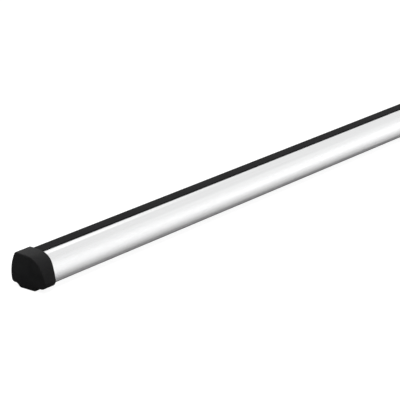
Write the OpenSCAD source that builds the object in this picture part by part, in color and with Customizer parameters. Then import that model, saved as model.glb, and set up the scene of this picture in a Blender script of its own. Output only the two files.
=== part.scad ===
// Roof rack crossbar: an extruded aluminium bar with a T-slot above and below,
// a rubber strip that closes the upper slot, and a moulded cap on each end.
// The bar runs along X, its rounded front faces -Y, and the caps' keels stand on z = 0.

/* [Bar] */
// Length of the aluminium extrusion
bar_l = 1200; // [600:10:1600]
// Width of the bar, front to rear
bar_w = 38; // [36:0.5:44]
// Height of the bar, keel to crown
bar_h = 32.7; // [31:0.1:38]
// Outer wall
wall = 1.8; // [1.4:0.1:2.4]
// Web that joins the two slots
web = 1.6; // [1.2:0.1:2.4]
// Line of the slots and the keel, rearward of the bar's middle
slot_y = 2.5; // [1:0.1:3.5]

/* [Bar outline] */
// Radius of the crowned top
crown_r = 84; // [70:1:100]
// Middle of the crown, rearward of the bar's middle
crown_y = 7.2; // [6:0.1:8]
// Radius of the front side
front_r = 77; // [70:1:90]
// Height at which the front side is widest, from the bar's keel
front_z = -2; // [-4:0.5:0]
// Radius of the rear side
rear_r = 61; // [56:1:70]
// Height at which the rear side is widest, from the bar's keel
rear_z = 1; // [0:0.5:3]
// Round between crown and front side
front_top_r = 12.3; // [9:0.1:14]
// Round between crown and rear side
rear_top_r = 0.8; // [0.5:0.1:2]
// Round below the front side
front_low_r = 4.9; // [2.5:0.1:5]
// Round below the rear side
rear_low_r = 1.5; // [1:0.1:3]

/* [Keel] */
// Width of the keel under the bar
keel_w = 17.8; // [16:0.1:20]
// Step from the shoulders down to the keel
keel_drop = 4; // [3.2:0.1:5]
// Slope of the keel's flanks
keel_slope = 55; // [45:1:70]
// Round at the keel's edges
keel_r = 1.2; // [0.6:0.1:1.8]
// Hollow round where the keel meets a shoulder
neck_r = 4.7; // [4:0.1:5.2]

/* [Upper slot] */
// Width of the upper slot's mouth
top_mouth = 10.4; // [8:0.1:11]
// Thickness of the lips beside the upper mouth
top_lip = 2.3; // [1.8:0.1:3]
// Width of the upper slot inside
top_slot_w = 15.4; // [13:0.1:16]
// Depth of the upper slot below its lips
top_slot_h = 7.4; // [6:0.1:9]
// Wall round the upper slot
top_slot_wall = 1.6; // [1.2:0.1:2]

/* [Lower slot] */
// Width of the lower slot's mouth, for an M8 T-bolt
low_mouth = 8.4; // [6:0.1:9]
// Thickness of the lips beside the lower mouth
low_lip = 2.6; // [2:0.1:3.2]
// Width of the lower slot inside
low_slot_w = 14.4; // [12:0.1:16]
// Depth of the lower slot above its lips
low_slot_h = 6.6; // [5:0.1:8]
// Wall round the lower slot
low_slot_wall = 1.6; // [1.2:0.1:2]
// Bevel along the outer edges of the lower mouth
low_bevel = 0.4; // [0.2:0.1:0.8]

/* [Strip] */
// How far the strip stands proud of the bar
strip_proud = 1; // [0.5:0.1:1.4]
// How far the strip's head laps over each lip
strip_lap = 0.4; // [0.2:0.1:0.8]
// Gap between the strip's stem and the mouth
strip_gap = 0.1; // [0.05:0.05:0.2]
// Thickness of the strip's wings under the lips
wing_t = 1.4; // [1:0.1:2]
// How far each wing reaches under its lip
wing_reach = 1.8; // [1.2:0.1:2.2]
// Round along the strip's upper edges
strip_edge_r = 0.5; // [0.2:0.05:0.5]

/* [End caps] */
// Length of a cap from its rim to the foremost point of its face
cap_l = 19.4; // [17:0.1:24]
// Depth of the socket that takes the bar
socket_l = 8.8; // [8:0.1:10]
// Gap between the cap's sleeve and the bar
sleeve_gap = 0.2; // [0.1:0.05:0.3]
// Wall of the cap's sleeve
sleeve_wall = 1.8; // [1.6:0.1:2.4]
// Radius of the domed face
face_r = 350; // [250:10:500]
// Height of the dome's middle above the ground
face_z = 73; // [60:1:80]
// Middle of the dome, rearward of the bar's middle
face_y = 17; // [10:1:20]
// Least thickness of the face
face_wall = 2; // [1.6:0.1:2]
// How far the plugs reach into the bar's chambers
plug_l = 16; // [10:1:24]
// Gap between a plug and its chamber
plug_gap = 0.25; // [0.15:0.05:0.4]
// Wall of a plug
plug_wall = 1.5; // [1.2:0.1:1.8]

/* [Hidden] */

// Colours of the anodised metal, the rubber and the moulded caps
metal = [0.82, 0.83, 0.84];
rubber = [0.10, 0.10, 0.11];
plastic = [0.07, 0.07, 0.08];

// Greatest distance of an arc from its chords, and the least round of a shrunken outline
chord_gap = 0.02;
least_r = 0.5;
// Steps round the whole ball that shapes a face
dome_steps = 720;
// How far a cutting shape runs past what it cuts
past = 1;

// The sleeve lifts the bar off the ground
bar_z = sleeve_gap + sleeve_wall;
crown_z = bar_z + bar_h;
shoulder_z = bar_z + keel_drop;
// Lips' undersides and the floors of the two slots
top_lip_z = crown_z - top_lip;
top_floor_z = top_lip_z - top_slot_h;
low_lip_z = bar_z + low_lip;
low_ceiling_z = low_lip_z + low_slot_h;
// Ends of the bar and of the whole part
bar_end = bar_l / 2;
rim_x = bar_end - socket_l;
face_x = rim_x + cap_l;

// Centres of the three large sides; the bar is widest at the rounds below its sides
rear_c = [bar_w / 2 - half_bow(rear_r, rear_low_r, rear_z), bar_z + rear_z];
front_c = [half_bow(front_r, front_low_r, front_z) - bar_w / 2, bar_z + front_z];
crown_c = [crown_y, crown_z - crown_r];
// Flanks of the keel, from the centre of its edge to the centre of its hollow
flank_l = (keel_drop - (keel_r + neck_r) * (1 - cos(keel_slope))) / sin(keel_slope);
flank_run = (keel_r + neck_r) * sin(keel_slope) + flank_l * cos(keel_slope);
keel_edge_y = keel_w / 2 - keel_r;
neck_y = keel_edge_y + flank_run;

// The point r1 from c1 and r2 from c2, on the left of the way from c1 to c2 for side 1
function meet(c1, r1, c2, r2, side) =
    let (d = norm(c2 - c1),
         way = (c2 - c1) / d,
         a = (r1 * r1 - r2 * r2 + d * d) / (2 * d),
         b = sqrt(r1 * r1 - a * a))
    c1 + a * way + side * b * [-way[1], way[0]];

// How far the round below a side of radius r reaches from the side's centre
function half_bow(r, low_r, z) =
    let (rise = keel_drop + low_r - z)
    low_r + sqrt((r - low_r) * (r - low_r) - rise * rise);

// The point at height z that lies r from c, to the rear for side 1
function on_side(c, r, z, side) = [c[0] + side * sqrt(r * r - (z - c[1]) * (z - c[1])), z];

// The point at y that lies r above the crown's centre
function on_crown(y, r) = [y, crown_c[1] + sqrt(r * r - (y - crown_c[0]) * (y - crown_c[0]))];

// Direction from c to p, between -90 and 270 degrees
function bearing(c, p) = (atan2(p[1] - c[1], p[0] - c[0]) + 450) % 360 - 90;

// Points along an arc of radius r about c
function arc(c, r, from, to) =
    let (step = 2 * acos(1 - chord_gap / r),
         n = max(3, ceil(abs(to - from) / step)))
    [for (i = [0 : n])
        let (a = from + (to - from) * i / n)
        c + r * [cos(a), sin(a)]];

// A round of radius r after the outline has moved outwards by grow
function round_r(r, grow) = max(r + grow, least_r);

// The bar's outline, moved outwards by grow: keel, rear side, crown, front side
function outline(grow) =
    let (rear = rear_r + grow,
         front = front_r + grow,
         crown = crown_r + grow,
         floor_z = shoulder_z - grow,
         neck = neck_r - grow,
         // Rounds between the sides, and their centres
         edge = round_r(keel_r, grow),
         back_low = round_r(rear_low_r, grow),
         back_top = round_r(rear_top_r, grow),
         nose_top = round_r(front_top_r, grow),
         nose_low = round_r(front_low_r, grow),
         slip = keel_r + grow - edge,
         edge_y = keel_edge_y + slip * (1 - cos(keel_slope)) / sin(keel_slope),
         edge_z = bar_z + keel_r - slip,
         back_low_c = on_side(rear_c, rear - back_low, floor_z + back_low, 1),
         back_top_c = meet(rear_c, rear - back_top, crown_c, crown - back_top, 1),
         nose_top_c = meet(front_c, front - nose_top, crown_c, crown - nose_top, -1),
         nose_low_c = on_side(front_c, front - nose_low, floor_z + nose_low, -1))
    concat(
        arc([slot_y + edge_y, edge_z], edge, -90, keel_slope - 90),
        arc([slot_y + neck_y, shoulder_z - neck_r], neck, 90 + keel_slope, 90),
        arc(back_low_c, back_low, -90, bearing(rear_c, back_low_c)),
        arc(rear_c, rear, bearing(rear_c, back_low_c), bearing(rear_c, back_top_c)),
        arc(back_top_c, back_top, bearing(rear_c, back_top_c), bearing(crown_c, back_top_c)),
        arc(crown_c, crown, bearing(crown_c, back_top_c), bearing(crown_c, nose_top_c)),
        arc(nose_top_c, nose_top, bearing(crown_c, nose_top_c), bearing(front_c, nose_top_c)),
        arc(front_c, front, bearing(front_c, nose_top_c), bearing(front_c, nose_low_c)),
        arc(nose_low_c, nose_low, bearing(front_c, nose_low_c), 270),
        arc([slot_y - neck_y, shoulder_z - neck_r], neck, 90, 90 - keel_slope),
        arc([slot_y - edge_y, edge_z], edge, 270 - keel_slope, 270));

// A section extruded along X
module along(x0, x1) {
    translate([x0, 0, 0]) rotate([90, 0, 90]) linear_extrude(x1 - x0) children();
}

// A rectangle about the slots' line, between two heights
module band(w, z0, z1) {
    translate([slot_y - w / 2, z0]) square([w, z1 - z0]);
}

// The bar's hollow, in front of and behind the web, drawn smaller by inset
module chambers(inset) {
    difference() {
        polygon(outline(-wall - inset));
        band(top_slot_w + 2 * (top_slot_wall + inset), top_floor_z - top_slot_wall - inset,
             crown_z + past);
        band(low_slot_w + 2 * (low_slot_wall + inset), 0, low_ceiling_z + low_slot_wall + inset);
        band(web + 2 * inset, 0, crown_z);
    }
}

// Both T-slots with their mouths, the lower one bevelled where the bolts go in
module slots() {
    band(top_slot_w, top_floor_z, top_lip_z);
    band(top_mouth, top_lip_z - past, crown_z + past);
    band(low_slot_w, low_lip_z, low_ceiling_z);
    band(low_mouth, 0, low_lip_z + past);
    low_edge = low_mouth / 2 + low_bevel;
    polygon([[slot_y - low_edge, bar_z], [slot_y, bar_z + low_edge], [slot_y + low_edge, bar_z]]);
}

// Upper face of the strip's head, parallel to the crown, with both edges rounded
module strip_head() {
    top_r = crown_r + strip_proud;
    reach = top_mouth / 2 + strip_lap - strip_edge_r;
    rear_edge = on_crown(slot_y + reach, top_r - strip_edge_r);
    front_edge = on_crown(slot_y - reach, top_r - strip_edge_r);
    rear_turn = bearing(crown_c, rear_edge);
    front_turn = bearing(crown_c, front_edge);
    polygon(concat(
        [[slot_y - reach, top_lip_z], [slot_y + reach, top_lip_z]],
        [[slot_y + reach + strip_edge_r, top_lip_z]],
        arc(rear_edge, strip_edge_r, 0, rear_turn),
        arc(crown_c, top_r, rear_turn, front_turn),
        arc(front_edge, strip_edge_r, front_turn, 180),
        [[slot_y - reach - strip_edge_r, top_lip_z]]));
}

// Section of the strip: a head over the lips, a stem, and two wings under the lips
module strip_section() {
    wing_top = top_lip_z - strip_gap;
    difference() {
        strip_head();
        polygon(outline(0));
    }
    intersection() {
        strip_head();
        band(top_mouth - 2 * strip_gap, top_lip_z, crown_z + strip_proud);
    }
    band(top_mouth - 2 * strip_gap, wing_top - wing_t, top_lip_z);
    band(top_mouth + 2 * wing_reach, wing_top - wing_t, wing_top);
}

// Domed end of a cap, at the right-hand end; shrink draws the inside of its wall
module dome(shrink) {
    top_corner = min([for (p = outline(sleeve_gap + sleeve_wall)) norm(p - [face_y, face_z])]);
    middle_x = face_x - sqrt(face_r * face_r - top_corner * top_corner);
    translate([middle_x, face_y, face_z]) sphere(r = face_r - shrink, $fn = dome_steps);
}

// One cap, drawn at the right-hand end: a sleeve, a domed face and two hollow plugs
module end_cap() {
    difference() {
        union() {
            difference() {
                intersection() {
                    along(rim_x, face_x + past) polygon(outline(sleeve_gap + sleeve_wall));
                    dome(0);
                }
                along(rim_x - past, bar_end) {
                    polygon(outline(sleeve_gap));
                    intersection() {
                        polygon(outline(strip_proud + sleeve_gap));
                        band(top_mouth + 2 * (strip_lap + sleeve_gap), top_lip_z,
                             crown_z + 2 * strip_proud);
                    }
                    // The sleeve leaves the lower slot open down to the end wall
                    band(low_mouth + 2 * low_bevel, -past, bar_z);
                }
            }
            along(bar_end - plug_l, bar_end) chambers(plug_gap);
        }
        intersection() {
            along(bar_end - plug_l - past, face_x) chambers(plug_gap + plug_wall);
            dome(face_wall);
        }
    }
}

module bar_profile() {
    color(metal) along(-bar_end, bar_end) difference() {
        polygon(outline(0));
        slots();
        chambers(0);
    }
}

module top_strip() {
    color(rubber) along(-bar_end, bar_end) strip_section();
}

module end_cap_left() {
    color(plastic) mirror([1, 0, 0]) end_cap();
}

module end_cap_right() {
    color(plastic) end_cap();
}

bar_profile();
top_strip();
end_cap_left();
end_cap_right();
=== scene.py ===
import math

import bmesh
import bpy
from mathutils import Matrix, Vector


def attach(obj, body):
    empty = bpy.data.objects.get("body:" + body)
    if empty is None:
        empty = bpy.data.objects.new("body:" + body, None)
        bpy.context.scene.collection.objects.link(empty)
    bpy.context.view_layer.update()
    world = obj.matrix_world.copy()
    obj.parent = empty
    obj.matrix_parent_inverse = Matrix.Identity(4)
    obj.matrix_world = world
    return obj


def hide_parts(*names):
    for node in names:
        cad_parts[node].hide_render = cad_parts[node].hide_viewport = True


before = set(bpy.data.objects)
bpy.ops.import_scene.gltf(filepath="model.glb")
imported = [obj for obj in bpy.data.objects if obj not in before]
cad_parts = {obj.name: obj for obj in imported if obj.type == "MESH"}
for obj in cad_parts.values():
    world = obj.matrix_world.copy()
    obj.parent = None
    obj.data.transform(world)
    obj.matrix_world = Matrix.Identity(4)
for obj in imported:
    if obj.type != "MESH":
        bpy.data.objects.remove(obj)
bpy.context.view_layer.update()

# All lengths in this script are in metres
MM = 0.001

# Light of the surround on the pieces, and how much the floor is lifted to white
AMBIENT = 0.15
FLOOR_LIFT = 0.93
# What a gloss mirrors: a painted shade on the floor near the bar, which clears to white farther off
GLOSS_NEAR = 0.02
GLOSS_FAR = 0.22
GLOSS_LIFT = 0.93
# Grey of the floor, half its width, and half the length of the bar above it
FLOOR_GREY = 0.33
FLOOR_HALF = 8
BAR_HALF = 0.6
# The floor lies this little below the caps, so that the two don't share one plane
FLOOR_GAP = 0.05 * MM

# The camera that took the photograph: a long lens, low on the left of the bar
LENS = 145.5
SENSOR = 36
CAMERA_PLACE = Vector((-1.5754, -0.9815, 0.5604))
CAMERA_AHEAD = Vector((0.736564, 0.592638, -0.325966)).normalized()

# The middle part of a noise, which holds nearly all of its values
NOISE_LOW = 0.3
NOISE_HIGH = 0.7

# The ball that a cap's domed face is part of: its radius, and its middle in y and z
DOME_R = 350 * MM
DOME_MIDDLE = Vector((17 * MM, 73 * MM))
# Steps of the round at the face's edge, and rings of the face inside it
EDGE_STEPS = 4
FACE_RINGS = 5
# A face whose normal has at least this share outwards along x is part of the dome
FACE_SHARE = 0.8
# Angles: what counts as straight, and what counts as a corner
STRAIGHT = math.radians(0.05)
CORNER = math.radians(35)
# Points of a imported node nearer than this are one
SAME_POINT = 0.001 * MM
# Segments of the fine round along a corner
ROUND_SEGMENTS = 2


# Materials. Each one reads Object coordinates, so that its pattern keeps its real size.

def new_material(name):
    """An empty material with its Principled shader, and the Object coordinates."""
    made = bpy.data.materials.new(name)
    made.use_nodes = True
    nodes = made.node_tree.nodes
    shader = nodes["Principled BSDF"]
    coords = nodes.new("ShaderNodeTexCoord").outputs["Object"]
    return made, shader, coords


def stretched(tree, coords, per_metre):
    """Coordinates counted in so many steps per metre along x, y and z."""
    mapping = tree.nodes.new("ShaderNodeMapping")
    mapping.inputs["Scale"].default_value = per_metre
    tree.links.new(coords, mapping.inputs["Vector"])
    return mapping.outputs["Vector"]


def noise(tree, coords, per_metre, detail=2.0):
    """A noise whose grains have the given number per metre along x, y and z."""
    texture = tree.nodes.new("ShaderNodeTexNoise")
    texture.inputs["Scale"].default_value = 1.0
    texture.inputs["Detail"].default_value = detail
    tree.links.new(stretched(tree, coords, per_metre), texture.inputs["Vector"])
    return texture.outputs["Fac"]


def between(tree, fac, low, high):
    """Turns the middle of a noise into a value that runs from low to high."""
    span = tree.nodes.new("ShaderNodeMapRange")
    span.inputs["From Min"].default_value = NOISE_LOW
    span.inputs["From Max"].default_value = NOISE_HIGH
    span.inputs["To Min"].default_value = low
    span.inputs["To Max"].default_value = high
    tree.links.new(fac, span.inputs["Value"])
    return span.outputs["Result"]


def tinted(tree, fac, dark, light):
    """A colour between dark and light by the middle of a noise."""
    ramp = tree.nodes.new("ShaderNodeValToRGB")
    first, last = ramp.color_ramp.elements
    first.position = NOISE_LOW
    first.color = (*dark, 1)
    last.position = NOISE_HIGH
    last.color = (*light, 1)
    tree.links.new(fac, ramp.inputs["Fac"])
    return ramp.outputs["Color"]


def relief(tree, height, depth, strength, below=None):
    """A bump of the given depth, laid over another bump where one is given."""
    bump = tree.nodes.new("ShaderNodeBump")
    bump.inputs["Strength"].default_value = strength
    bump.inputs["Distance"].default_value = depth
    tree.links.new(height, bump.inputs["Height"])
    if below is not None:
        tree.links.new(below, bump.inputs["Normal"])
    return bump.outputs["Normal"]


def anodised_metal():
    """Satin anodised aluminium with the fine lengthwise lines of an extrusion."""
    made, shader, coords = new_material("anodised_metal")
    tree = made.node_tree
    die_lines = noise(tree, coords, per_metre=(3, 1400, 1400), detail=3.0)
    broad_lines = noise(tree, coords, per_metre=(1.5, 160, 160))
    etch = noise(tree, coords, per_metre=(3000, 3000, 3000))
    colour = tinted(tree, broad_lines, dark=(0.76, 0.762, 0.765), light=(0.80, 0.802, 0.805))
    tree.links.new(colour, shader.inputs["Base Color"])
    tree.links.new(between(tree, die_lines, low=0.20, high=0.28), shader.inputs["Roughness"])
    shader.inputs["Metallic"].default_value = 1.0
    lines = relief(tree, die_lines, depth=0.02 * MM, strength=0.25)
    skin = relief(tree, etch, depth=0.01 * MM, strength=0.2, below=lines)
    tree.links.new(skin, shader.inputs["Normal"])
    return made


def strip_rubber():
    """Black rubber with a smooth skin and a faint drawn grain along its length."""
    made, shader, coords = new_material("strip_rubber")
    tree = made.node_tree
    pores = noise(tree, coords, per_metre=(1800, 1800, 1800), detail=3.0)
    drawn = noise(tree, coords, per_metre=(12, 900, 900))
    bloom = noise(tree, coords, per_metre=(25, 60, 60))
    colour = tinted(tree, bloom, dark=(0.014, 0.014, 0.0146), light=(0.019, 0.019, 0.0198))
    tree.links.new(colour, shader.inputs["Base Color"])
    tree.links.new(between(tree, pores, low=0.55, high=0.65), shader.inputs["Roughness"])
    shader.inputs["Specular IOR Level"].default_value = 0.02
    lines = relief(tree, drawn, depth=0.05 * MM, strength=0.3)
    skin = relief(tree, pores, depth=0.06 * MM, strength=0.5, below=lines)
    tree.links.new(skin, shader.inputs["Normal"])
    return made


def cap_plastic():
    """Charcoal moulded plastic with a fine spark-eroded grain."""
    made, shader, coords = new_material("cap_plastic")
    tree = made.node_tree
    grain = noise(tree, coords, per_metre=(2200, 2200, 2200), detail=4.0)
    flow = noise(tree, coords, per_metre=(40, 90, 90))
    colour = tinted(tree, flow, dark=(0.018, 0.018, 0.0185), light=(0.025, 0.025, 0.0257))
    tree.links.new(colour, shader.inputs["Base Color"])
    tree.links.new(between(tree, grain, low=0.42, high=0.58), shader.inputs["Roughness"])
    shader.inputs["Specular IOR Level"].default_value = 0.05
    skin = relief(tree, grain, depth=0.07 * MM, strength=0.6)
    tree.links.new(skin, shader.inputs["Normal"])
    return made


# Pieces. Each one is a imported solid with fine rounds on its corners.

def open_edges(bm):
    """The edges round an opening."""
    return [edge for edge in bm.edges if edge.is_boundary]


def in_turn(chain):
    """The corners of a closed chain of edges, one after the other."""
    edge = chain[0]
    corner = edge.verts[0]
    turn = [corner]
    while edge.other_vert(corner) is not turn[0]:
        corner = edge.other_vert(corner)
        turn.append(corner)
        edge = next(e for e in corner.link_edges if e in chain and e is not edge)
    return turn


def neighbours(ring):
    """Each item of a closed ring, between the one before it and the one after it."""
    return zip(ring[-1:] + ring[:-1], ring, ring[1:] + ring[:1])


def reach(spot, ball):
    """How far a ball about the dome's middle reaches along x over a spot in y and z."""
    return math.sqrt(ball ** 2 - (spot - DOME_MIDDLE).length_squared)


def opened(bm, outwards):
    """Takes a cap's domed face off, with the corners that only lay along straight edges.
    Returns the corners round the opening and the x of the dome's middle."""
    old = [face for face in bm.faces if face.normal.x * outwards > FACE_SHARE]
    bmesh.ops.delete(bm, geom=old, context="FACES")
    outline = in_turn(open_edges(bm))
    flat = [corner.co.yz for corner in outline]
    middle_x = outline[0].co.x - outwards * reach(flat[0], DOME_R)
    straight = [corner for corner, (before, here, after) in zip(outline, neighbours(flat))
                if abs((here - before).angle_signed(after - here)) < STRAIGHT
                and len(corner.link_edges) == 2]
    bmesh.ops.dissolve_verts(bm, verts=straight)
    return in_turn(open_edges(bm)), middle_x


def rolled(outline, outwards, middle_x, radius):
    """A ball that rolls inside the cap's corner, for each corner of the outline.
    It is given by its centre and the ways to where it touches the sleeve and the face."""
    flat = [corner.co.yz for corner in outline]
    turning = math.copysign(1, sum(here.cross(after) for _, here, after in neighbours(flat)))
    balls = {}
    for corner, (before, here, after) in zip(outline, neighbours(flat)):
        along = ((here - before).normalized() + (after - here).normalized()).normalized()
        inwards = turning * Vector((-along.y, along.x))
        spot = here + inwards * radius
        centre = Vector((middle_x + outwards * reach(spot, DOME_R - radius), *spot))
        to_sleeve = Vector((0, *-inwards))
        to_face = (centre - Vector((middle_x, *DOME_MIDDLE))).normalized()
        balls[corner] = centre, to_sleeve, to_face
    return balls


def next_ring(bm, chain, balls):
    """Extrudes a ring of edges. Each new corner gets the ball of the one that it came from."""
    made = bmesh.ops.extrude_edge_only(bm, edges=chain)["geom"]
    ring = {part for part in made if isinstance(part, bmesh.types.BMVert)}
    for corner in ring:
        linked = [edge.other_vert(corner) for edge in corner.link_edges]
        balls[corner] = balls[next(vert for vert in linked if vert not in ring)]
    chain = [part for part in made
             if isinstance(part, bmesh.types.BMEdge) and ring.issuperset(part.verts)]
    return ring, chain


def soft_face(bm, radius):
    """Draws a cap's domed face anew, with a round between it and the sleeve."""
    bmesh.ops.recalc_face_normals(bm, faces=bm.faces)
    outwards = math.copysign(1, next(iter(bm.verts)).co.x)
    outline, middle_x = opened(bm, outwards)
    balls = rolled(outline, outwards, middle_x, radius)
    middle = sum((centre for centre, _, _ in balls.values()), Vector()) / len(balls)
    for corner, (centre, to_sleeve, _) in balls.items():
        corner.co = centre + radius * to_sleeve
    chain = open_edges(bm)
    for step in range(1, EDGE_STEPS + FACE_RINGS + 1):
        ring, chain = next_ring(bm, chain, balls)
        for corner in ring:
            centre, to_sleeve, to_face = balls[corner]
            if step <= EDGE_STEPS:
                corner.co = centre + radius * to_sleeve.slerp(to_face, step / EDGE_STEPS)
            else:
                inwards = (step - EDGE_STEPS) / (FACE_RINGS + 1)
                spot = (centre + radius * to_face).lerp(middle, inwards)
                corner.co = (middle_x + outwards * reach(spot.yz, DOME_R), *spot.yz)
    bmesh.ops.contextual_create(bm, geom=chain)
    bmesh.ops.recalc_face_normals(bm, faces=bm.faces)


def rounded(node, name, body, material, edge, face_round=0):
    """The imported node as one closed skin, whose corners get a fine round of width edge.
    A cap's face gets a larger one of its own."""
    bm = bmesh.new()
    bm.from_mesh(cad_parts[node].data)
    bmesh.ops.remove_doubles(bm, verts=bm.verts, dist=SAME_POINT)
    bmesh.ops.dissolve_limit(bm, angle_limit=STRAIGHT, verts=bm.verts, edges=bm.edges)
    if face_round:
        soft_face(bm, face_round)
    mesh = bpy.data.meshes.new(name)
    bm.to_mesh(mesh)
    bm.free()
    mesh.shade_smooth()
    mesh.set_sharp_from_angle(angle=CORNER)
    mesh.materials.append(material)
    piece = bpy.data.objects.new(name, mesh)
    bpy.context.scene.collection.objects.link(piece)
    bevel = piece.modifiers.new("edge", "BEVEL")
    bevel.width = edge
    bevel.segments = ROUND_SEGMENTS
    bevel.limit_method = "ANGLE"
    bevel.angle_limit = CORNER
    bevel.harden_normals = True
    level = piece.modifiers.new("level", "WEIGHTED_NORMAL")
    level.keep_sharp = True
    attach(piece, body)
    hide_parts(node)


metal, rubber, plastic = anodised_metal(), strip_rubber(), cap_plastic()
rounded("bar_profile", "bar_extrusion", "bar", metal, edge=0.2 * MM)
rounded("top_strip", "infill_strip", "bar", rubber, edge=0.15 * MM)
rounded("end_cap_left", "cap_left", "left_cap", plastic,
        edge=0.3 * MM, face_round=1.0 * MM)
rounded("end_cap_right", "cap_right", "right_cap", plastic,
        edge=0.3 * MM, face_round=1.0 * MM)


# Stage. A white floor that keeps the shadow, a white surround, soft lamps and the camera.

def number(tree, kind, *values):
    """A Math node of one kind, fed with sockets or plain numbers."""
    node = tree.nodes.new("ShaderNodeMath")
    node.operation = kind
    for socket, value in zip(node.inputs, values):
        if isinstance(value, (int, float)):
            socket.default_value = value
        else:
            tree.links.new(value, socket)
    return node.outputs["Value"]


def ray_kinds(tree):
    """1 for what the camera or a clear piece sees, and 1 for what a gloss mirrors."""
    path = tree.nodes.new("ShaderNodeLightPath")
    seen = number(tree, "MAXIMUM", path.outputs["Is Camera Ray"], path.outputs["Is Transmission Ray"])
    return seen, path.outputs["Is Glossy Ray"]


def way_from_bar(tree, coords):
    """Distance over the floor from the line that the bar's middle draws on it."""
    for operation, vector in (("ABSOLUTE", None), ("SUBTRACT", (BAR_HALF, 0, 0)), ("MAXIMUM", (0, 0, 0))):
        step = tree.nodes.new("ShaderNodeVectorMath")
        step.operation = operation
        tree.links.new(coords, step.inputs[0])
        if vector is not None:
            step.inputs[1].default_value = vector
        coords = step.outputs["Vector"]
    length = tree.nodes.new("ShaderNodeVectorMath")
    length.operation = "LENGTH"
    tree.links.new(coords, length.inputs[0])
    return length.outputs["Value"]


def floor_material():
    """Pale floor. The camera sees it white but for the shadow.
    A gloss sees a painted shade on it near the bar, and white away from it."""
    made, shader, coords = new_material("white_floor")
    tree = made.node_tree
    shader.inputs["Base Color"].default_value = (FLOOR_GREY, FLOOR_GREY, FLOOR_GREY, 1)
    shader.inputs["Roughness"].default_value = 1.0
    shader.inputs["Specular IOR Level"].default_value = 0.0
    shader.inputs["Emission Color"].default_value = (1, 1, 1, 1)
    seen, glossy = ray_kinds(tree)
    # Painted shade: the lift that a gloss sees is held back near the bar, so reflections show a darker
    # pool of floor there, on top of its real shadow
    painted_shade_clearing = tree.nodes.new("ShaderNodeMapRange")
    painted_shade_clearing.interpolation_type = "SMOOTHSTEP"
    painted_shade_clearing.inputs["From Min"].default_value = GLOSS_NEAR
    painted_shade_clearing.inputs["From Max"].default_value = GLOSS_FAR
    painted_shade_clearing.inputs["To Max"].default_value = GLOSS_LIFT
    tree.links.new(way_from_bar(tree, coords), painted_shade_clearing.inputs["Value"])
    mirrored = number(tree, "MULTIPLY", glossy, painted_shade_clearing.outputs["Result"])
    lift = number(tree, "MULTIPLY_ADD", seen, FLOOR_LIFT, mirrored)
    tree.links.new(lift, shader.inputs["Emission Strength"])
    return made


def floor():
    """One flat square under the object."""
    bm = bmesh.new()
    grid = bmesh.ops.create_grid(bm, x_segments=1, y_segments=1, size=FLOOR_HALF)
    bmesh.ops.translate(bm, verts=grid["verts"], vec=(0, 0, -FLOOR_GAP))
    mesh = bpy.data.meshes.new("floor")
    bm.to_mesh(mesh)
    bm.free()
    mesh.materials.append(floor_material())
    made = bpy.data.objects.new("floor", mesh)
    bpy.context.scene.collection.objects.link(made)


def surround():
    """White for camera, gloss and clear pieces, and a plain ambient light for the rest."""
    world = bpy.data.worlds.new("white_surround")
    bpy.context.scene.world = world
    world.use_nodes = True
    tree = world.node_tree
    light = tree.nodes["Background"]
    light.inputs["Color"].default_value = (1, 1, 1, 1)
    light.inputs["Strength"].default_value = AMBIENT
    shown = tree.nodes.new("ShaderNodeBackground")
    shown.inputs["Color"].default_value = (1, 1, 1, 1)
    shown.inputs["Strength"].default_value = 1.0
    mix = tree.nodes.new("ShaderNodeMixShader")
    tree.links.new(number(tree, "MAXIMUM", *ray_kinds(tree)), mix.inputs["Fac"])
    tree.links.new(light.outputs["Background"], mix.inputs[1])
    tree.links.new(shown.outputs["Background"], mix.inputs[2])
    tree.links.new(mix.outputs["Shader"], tree.nodes["World Output"].inputs["Surface"])


def softbox(name, place, target, width, height, brightness):
    """A flat soft lamp at place that shines at target. A gloss sees brightness 1 as white."""
    light = bpy.data.lights.new(name, "AREA")
    light.shape = "RECTANGLE"
    light.size = width
    light.size_y = height
    light.energy = brightness * math.pi * width * height
    made = bpy.data.objects.new(name, light)
    bpy.context.scene.collection.objects.link(made)
    made.location = place
    aim = Vector(target) - Vector(place)
    made.rotation_euler = aim.to_track_quat("-Z", "Y").to_euler()
    made.visible_camera = False


def camera():
    """The camera, held level."""
    lens = bpy.data.cameras.new("camera")
    lens.sensor_width = SENSOR
    lens.lens = LENS
    made = bpy.data.objects.new("camera", lens)
    bpy.context.scene.collection.objects.link(made)
    right = CAMERA_AHEAD.cross(Vector((0, 0, 1))).normalized()
    up = right.cross(CAMERA_AHEAD)
    turn = Matrix((right, up, -CAMERA_AHEAD)).transposed().to_4x4()
    made.matrix_world = Matrix.Translation(CAMERA_PLACE) @ turn
    bpy.context.scene.camera = made


floor()
surround()
# The key lights the caps and the strip. The bar mirrors only the other three, and adds
# their faint light to the white surround behind them.
softbox("key_softbox", place=(-0.9, -0.5, 2.1), target=(-0.5, 0, 0),
        width=1.4, height=1.4, brightness=6)
softbox("right_panel", place=(1.5, -1.7, 0.80), target=(-0.2, 0, 0.1),
        width=3.4, height=1.1, brightness=0.11)
softbox("low_strip", place=(1.2, -1.4, 0.075), target=(-0.2, 0, 0.02),
        width=3.0, height=0.12, brightness=0.95)
softbox("top_softbox", place=(0.28, 0.66, 1.0), target=(-0.5, 0, 0),
        width=0.7, height=0.4, brightness=0.5)
camera()

bpy.context.scene.view_settings.view_transform = "Standard"
